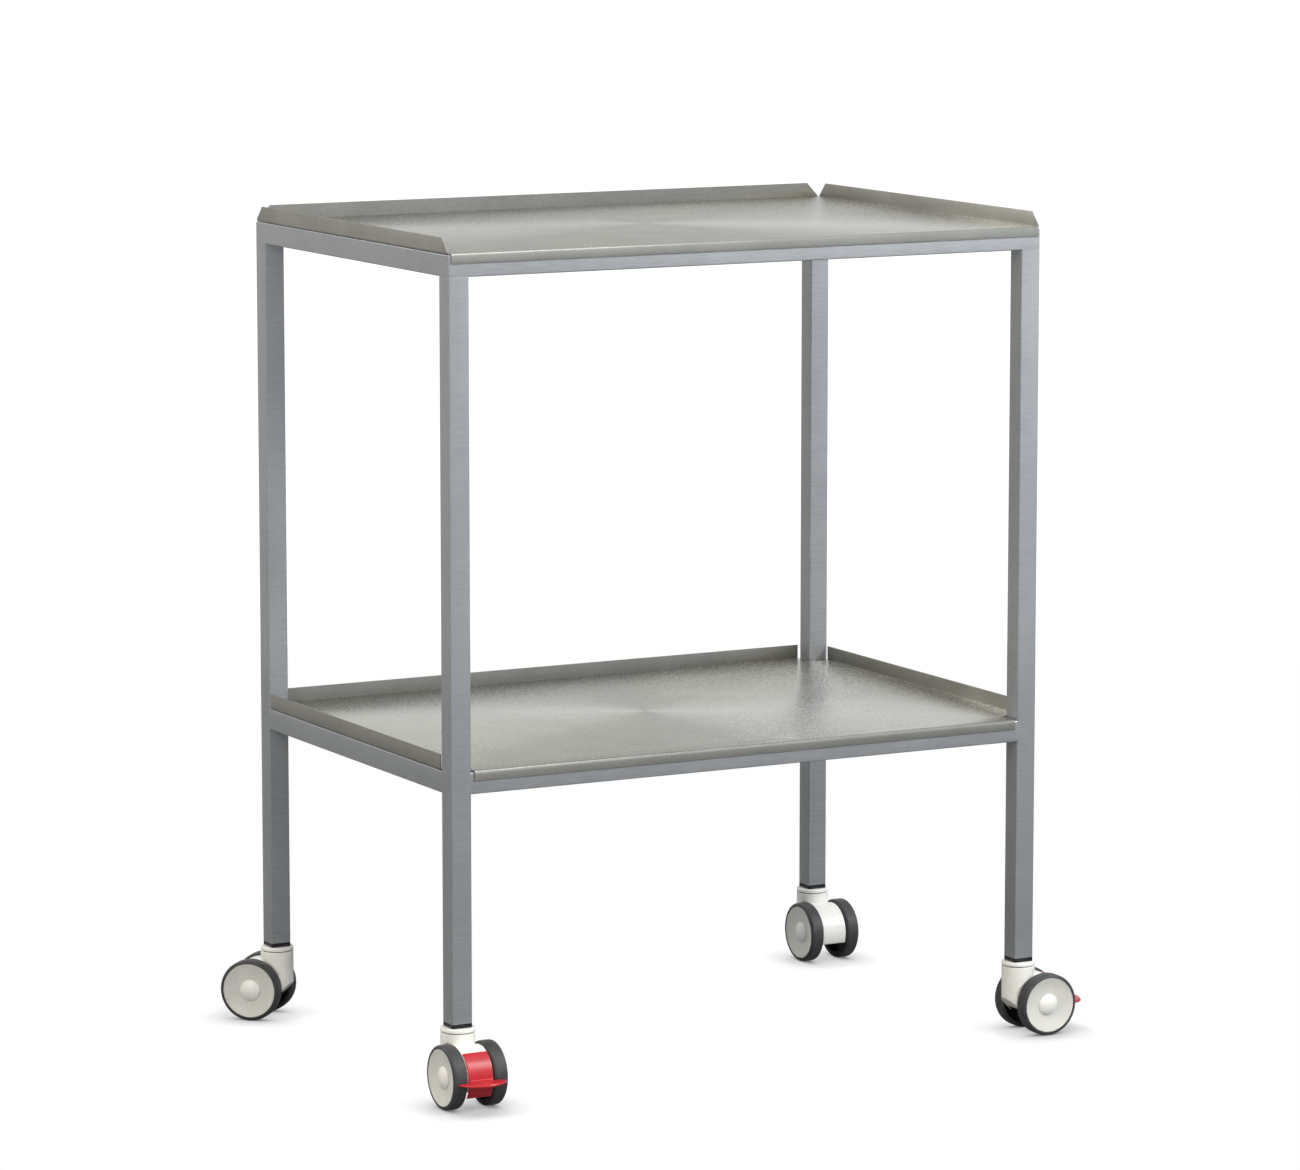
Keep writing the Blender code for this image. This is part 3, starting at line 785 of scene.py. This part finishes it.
# Profiles of a wheel as (radius, distance out from the middle of the caster)
def wheelProfiles():
    w, c = wheel, caster
    tread = c["wheel"]
    seat = tread - w["tyreDepth"]
    out, into = w["outer"], w["inner"]
    round1, round2 = w["outerRound"], w["innerRound"]
    tyre = [(seat + 0.1 * mm, out - w["recess"]), (seat + 0.1 * mm, out - 0.35 * mm)]
    tyre += [(seat + 0.45 * mm, out)]
    tyre += arc((tread - round1, out - round1), round1, 88, 8, 8)
    crown = np.linspace(out - round1, into + round2, 7)
    middleAcross = (out - round1 + into + round2) / 2
    width = (out - into) / 2
    tyre += [(tread - w["crown"] * ((y - middleAcross) / width) ** 2, y) for y in crown]
    tyre += arc((tread - round2, into + round2), round2, -8, -88, 8)
    tyre += [(seat, into)]
    rim = seat - 0.1 * mm
    bead = out - w["recess"]
    # dished disc: from the rim's bead the face falls in a shallow curve to the hub's flat,
    # by 1 - (1 - s) ^ 1.6 of the way down at the share s of the way in
    dishOut, dishIn = rim - 2.2 * mm, w["cap"] + 0.6 * mm
    share = np.linspace(0, 1, 12)
    dish = [
        (dishOut - (dishOut - dishIn) * s, bead - (bead - w["hubFace"]) * (1 - (1 - s) ** 1.6))
        for s in share
    ]
    core = [(c["axleHole"], w["hubFace"]), (w["cap"] - 0.2 * mm, w["hubFace"])]
    core += dish[::-1]
    core += arc((rim - 1.1 * mm, bead), 0.55 * mm, 180, 90, 3)
    core += arc((rim - 0.6 * mm, bead - 0.05 * mm), 0.6 * mm, 90, 0, 3)
    core += [(rim, into + 0.3 * mm)]
    back = [core[-1], (rim - 0.3 * mm, into), (rim - w["rimWall"], into)]
    back += [(rim - w["rimWall"], w["webInside"]), (w["hub"], w["webInside"])]
    back += [(w["hub"], w["hubInside"]), (c["axleHole"], w["hubInside"]), core[0]]
    base = w["hubFace"] + gap
    ball = (w["cap"] ** 2 + w["capHeight"] ** 2) / (2 * w["capHeight"])
    middleBall = (0, base + w["capHeight"] - ball)
    edge = math.degrees(math.asin((base + 0.6 * mm - middleBall[1]) / ball))
    cap = arc(middleBall, ball, 90, edge, 12)
    rimCap = cap[-1]
    cap += [(rimCap[0] + 0.12 * mm, base + 0.3 * mm), (rimCap[0] - 0.1 * mm, base)]
    cap += [(0.0, base)]
    cap[0] = (0.0, cap[0][1])
    return tyre, core, back, cap


def buildCasters():
    c, p = caster, pedal
    housing = skinOf(housingField, c["latticeLow"], c["latticeHigh"], c["lattice"])
    print("housing skin", len(housing[1]))
    # painted shade: the faces in the hollow over the axle, those that lie inside the cover's wall,
    # get black plastic
    facePoint = housing[0][housing[1]].mean(axis=1)
    fromAxle = np.hypot(facePoint[:, 0] - c["trail"], facePoint[:, 2] - c["wheel"])
    shadedHollowFaces = fromAxle < c["cover"] - c["wall"] + 0.5 * mm
    shadedHollowFaces &= np.abs(facePoint[:, 1]) < c["coverHalf"] - c["wall"] + 0.5 * mm
    hollowShadeNumbers = shadedHollowFaces.astype(np.int32)
    foot = skinOf(pedalField, p["latticeLow"], p["latticeHigh"], p["lattice"])
    print("pedal skin", len(foot[1]))
    tyre, core, back, cap = wheelProfiles()
    # the disc's back profile, its inner face between the twin wheels, is black plastic as painted
    # shade
    discAndShadeMaterials = [discPlastic, blackPlastic]
    for name in corners:
        x, y = boxOf(f"stem_{name}")[2][:2]
        body = pieceFrom(
            f"swivelHousing.{name}",
            atCorner(housing[0], name),
            housing[1],
            # material 1, black plastic, is painted shade in the hollow
            [whitePlastic, blackPlastic],
            hollowShadeNumbers,
            c["crease"],
        )
        settle(body, f"swivel_{name}", "white_plastic", f"swivel_housing_{name}")
        for side, way in (("left", -1), ("right", 1)):
            label = f"{name}_{side}"
            parts = (
                ("tyre", [tyre], [tyreRubber], "tyre", "tyre", True),
                ("wheelDisc", [core, back], discAndShadeMaterials, "disc_plastic", "wheel_core", False),
                ("hubCap", [cap], [whitePlastic], "white_plastic", "hub_cap", False),
            )
            for piece, profiles, finish, slotName, node, closed in parts:
                grids = []
                for number, profile in enumerate(profiles):
                    grid = turnedAboutY(profile, wheel["steps"])
                    grid[..., 1] *= way
                    grid += (c["trail"], 0, c["wheel"])
                    grids.append((atCorner(grid, name), closed, True, number))
                made = makePiece(f"{piece}.{label}", grids, finish)
                settle(made, f"wheel_{label}", slotName, f"{node}_{label}")
        if name in braked:
            made = pieceFrom(
                f"brakePedal.{name}",
                atCorner(foot[0], name),
                foot[1],
                [redPlastic],
                crease=c["crease"],
            )
            settle(made, f"brake_{name}", "red_plastic", f"brake_pedal_{name}")
        buildLegEnd(name, x, y)
    for name in corners:
        for node in (f"stem_{name}", f"axle_{name}"):
            item = frame["nodes"][node]
            item.data.materials.clear()
            item.data.materials.append(brightSteel)
    print("casters built")


legEnd = {
    "bandMore": 0.5 * mm,  # the plug's flange is thicker by this, and the collar is lower
    "insertInside": 2.1 * mm,  # the insert's face behind the tube's outer face
    "soft": 0.35 * mm,
    "collarRound": 1.6 * mm,
    "rebate": 18.4 * mm,
    "rebateTop": 84.7 * mm,
    "steps": 96,
}


# Black plug and white collar between leg and caster
def buildLegEnd(name, x, y):
    e, bore = legEnd, caster["socket"]
    half, corner = tube / 2, frameLook["corner"]
    low, high, _ = boxOf(f"leg_plug_{name}")
    flangeTop = boxOf(f"leg_{name}")[0][2] - gap
    insert = half - e["insertInside"]
    soft = e["soft"]
    base = low[2] - e["bandMore"]
    rows = [
        (bore, bore, base),
        (half - soft, corner, base),
        (half - soft * 0.3, corner, base + soft * 0.3),
        (half, corner, base + soft),
        (half, corner, flangeTop),
        (insert, corner / 2, flangeTop),
        (insert, corner / 2, high[2]),
        (bore, bore, high[2]),
    ]
    plug = makePiece(f"legPlug.{name}", [(squareStack(rows, x, y), True, True, 0)], [blackPlastic])
    settle(plug, "frame", "black_plastic", f"leg_plug_{name}")
    low, high, _ = boxOf(f"collar_{name}")
    radius, edge = caster["barrel"], e["collarRound"]
    top, under = high[2] - e["bandMore"], e["rebateTop"]
    shell = [(bore, low[2]), (bore, top)]
    shell += arc((radius - edge, top - edge), edge, 90, 0, 6)
    shell += [(radius, under + 0.2 * mm), (radius - 0.2 * mm, under)]
    # painted shade: the rebate in the gap over the barrel is black plastic
    gapShade = [shell[-1], (e["rebate"], under), (e["rebate"], low[2]), shell[0]]
    grids = []
    for number, profile in enumerate((shell, gapShade)):
        grid = turnedAboutY(profile, e["steps"])[..., (0, 2, 1)] + np.array([x, y, 0])
        grids.append((grid, False, True, number))
    collar = makePiece(f"collar.{name}", grids, [whitePlastic, blackPlastic])
    settle(collar, "frame", "white_plastic", f"collar_{name}")


buildFrame()
for node, own in trays.items():
    buildTray(node, own)
print("trays built")
buildCasters()


studio = {
    "floorReach": 3.0,  # metres from the cart to the edge of the paper
    "shadowReach": 0.04,  # metres over which something above the paper still darkens it
    "shadowDepth": 0.9,  # how much stronger than open shade the contact shadows are
    "floorBounce": "#868686",  # what the cart itself gets back from the floor
    "coolSide": (0.93, 0.98, 1.04),
    "warmSide": (1.0, 0.985, 0.94),
    "coolAzimuth": 28,
    "coolStrength": 0.86,
    "warmStrength": 0.56,
    "backdrop": 1.1,  # brightness of the wall that only the camera sees
    "lampTarget": 0.5,  # height that the softboxes face, and are placed from
    "lens": 154.7,
    "azimuth": -28.148,
    "elevation": 8.455,
    "cameraFromMiddle": (-3.1343, -5.8703),
    "cameraHeight": 1.5302,
}
# Softboxes: azimuth and elevation seen from the cart, distance and side in metres, watts
softboxes = {
    "keyFrontRight": {"azimuth": 38, "elevation": 32, "distance": 3.2, "side": 1.2, "watts": 16},
    "backLeft": {"azimuth": -137, "elevation": 38, "distance": 4.0, "side": 1.4, "watts": 45},
    "fillFrontLeft": {"azimuth": -55, "elevation": 32, "distance": 4.0, "side": 1.6, "watts": 12},
    "overhead": {"azimuth": 10, "elevation": 72, "distance": 3.0, "side": 1.2, "watts": 14},
    "wallBackRight": {"azimuth": 152, "elevation": 11, "distance": 5.0, "side": 2.6, "watts": 6},
}
# Key and fill have a grid: aimed at the top of the cart, they spread over this many degrees
lampGrid = {"aimHeight": 0.85, "spread": 70}
fillColour = "#fff3e4"


# Unit vector towards an azimuth and elevation; azimuth 0 is the open front, 90 the right
def towards(azimuth, elevation):
    a, e = math.radians(azimuth), math.radians(elevation)
    return np.array([math.sin(a) * math.cos(e), -math.cos(a) * math.cos(e), math.sin(e)])


# Two round floors: white paper that only the camera sees, darkened where something stands
# close over it, and a grey one a little lower that only the cart sees
def buildFloor():
    turn = np.linspace(0, 2 * math.pi, 96, endpoint=False)
    rim = np.stack([np.cos(turn), np.sin(turn), 0 * turn], axis=-1) * studio["floorReach"]
    grid = np.stack([rim, rim * 0]) + np.array([*middle[:2], 0])
    for name, drop in (("paperFloor", 0.0), ("greyFloor", 0.5 * mm)):
        material = bpy.data.materials.new(name)
        material.use_nodes = True
        tree = material.node_tree
        tree.nodes.remove(tree.nodes["Principled BSDF"])
        if drop:
            colour = linear(studio["floorBounce"])
            paper = addNode(tree, "ShaderNodeBsdfDiffuse", {"Color": colour}).outputs["BSDF"]
        else:
            reach = {"Distance": studio["shadowReach"]}
            clearAir = addNode(tree, "ShaderNodeAmbientOcclusion", reach, samples=16).outputs["AO"]
            darkest = 1 - studio["shadowDepth"]
            shade = {"Value": clearAir, "From Min": 0.0, "To Min": darkest, "To Max": 1.0}
            shade = addNode(tree, "ShaderNodeMapRange", shade, clamp=False).outputs["Result"]
            shade = addNode(
                tree, "ShaderNodeMath", {0: shade, 1: 0.02}, operation="MAXIMUM"
            ).outputs["Value"]
            paper = addNode(tree, "ShaderNodeEmission", {"Strength": shade}).outputs["Emission"]
        tree.links.new(paper, tree.nodes["Material Output"].inputs["Surface"])
        level = grid - np.array([0, 0, drop])
        floor = makePiece(name, [(level, False, True, 0)], [material], outwards=False)
        floor.visible_camera = drop == 0
        floor.visible_diffuse = drop > 0
        floor.visible_glossy = drop > 0
        floor.visible_shadow = drop > 0


# Air of the studio: a cool tone and more light from the front right, a warm tone and less
# from the back left, mixed by how far a direction points to the cool side
def buildAir():
    world = bpy.data.worlds.new("studioAir")
    bpy.context.scene.world = world
    world.use_nodes = True
    tree = world.node_tree
    background = tree.nodes["Background"]
    way = addNode(tree, "ShaderNodeTexCoord").outputs["Generated"]
    cool = tuple(towards(studio["coolAzimuth"], 0))
    share = addNode(
        tree, "ShaderNodeVectorMath", {0: way, 1: cool}, operation="DOT_PRODUCT"
    ).outputs["Value"]
    share = addNode(
        tree, "ShaderNodeMapRange", {"Value": share, "From Min": -1.0, "From Max": 1.0}
    ).outputs["Result"]
    mixed = addNode(tree, "ShaderNodeMix", {"Factor": share}, data_type="RGBA")
    warm = np.array(studio["warmSide"]) * studio["warmStrength"]
    cold = np.array(studio["coolSide"]) * studio["coolStrength"]
    mixed.inputs["A"].default_value = (*warm, 1.0)
    mixed.inputs["B"].default_value = (*cold, 1.0)
    seen = addNode(tree, "ShaderNodeLightPath").outputs["Is Camera Ray"]
    shown = addNode(tree, "ShaderNodeMix", {"Factor": seen}, data_type="RGBA")
    tree.links.new(mixed.outputs["Result"], shown.inputs["A"])
    shown.inputs["B"].default_value = (*[studio["backdrop"]] * 3, 1.0)
    tree.links.new(shown.outputs["Result"], background.inputs["Color"])


# The softboxes. The key is kept off the trays, which would throw it into the fold behind them.
def buildLights():
    target = np.array([middle[0], middle[1], studio["lampTarget"]])
    flagged = bpy.data.collections.new("litByKey")
    for item in bpy.context.scene.objects:
        if item.type == "MESH" and "Tray" not in item.name:
            flagged.objects.link(item)
    for name, box in softboxes.items():
        data = bpy.data.lights.new(name, "AREA")
        data.shape = "SQUARE"
        data.size = box["side"]
        data.energy = box["watts"]
        lamp = bpy.data.objects.new(name, data)
        way = towards(box["azimuth"], box["elevation"])
        lamp.location = target + way * box["distance"]
        if name.startswith("fill"):
            data.color = linear(fillColour)[:3]
        lamp.rotation_euler = Vector(-way).to_track_quat("-Z", "Y").to_euler()
        lamp.visible_camera = False
        if name.startswith(("key", "fill")):
            data.spread = math.radians(lampGrid["spread"])
            aim = Vector((*target[:2], lampGrid["aimHeight"])) - lamp.location
            lamp.rotation_euler = aim.to_track_quat("-Z", "Y").to_euler()
        if name.startswith("key"):
            lamp.light_linking.receiver_collection = flagged
        bpy.context.scene.collection.objects.link(lamp)


# A long lens from the front left, at the height of a standing person's eyes
def buildCamera():
    data = bpy.data.cameras.new("camera")
    data.lens = studio["lens"]
    data.sensor_width = 36
    data.clip_start, data.clip_end = 0.1, 400
    camera = bpy.data.objects.new("camera", data)
    bpy.context.scene.collection.objects.link(camera)
    x, y = middle[:2] + np.array(studio["cameraFromMiddle"])
    camera.location = (x, y, studio["cameraHeight"])
    back = Vector(towards(studio["azimuth"], studio["elevation"]))
    camera.rotation_euler = (-back).to_track_quat("-Z", "Y").to_euler()
    bpy.context.scene.camera = camera


buildFloor()
buildAir()
buildLights()
buildCamera()
bpy.context.scene.view_settings.view_transform = "Standard"
bpy.context.scene.view_settings.look = "None"
print("studio set")
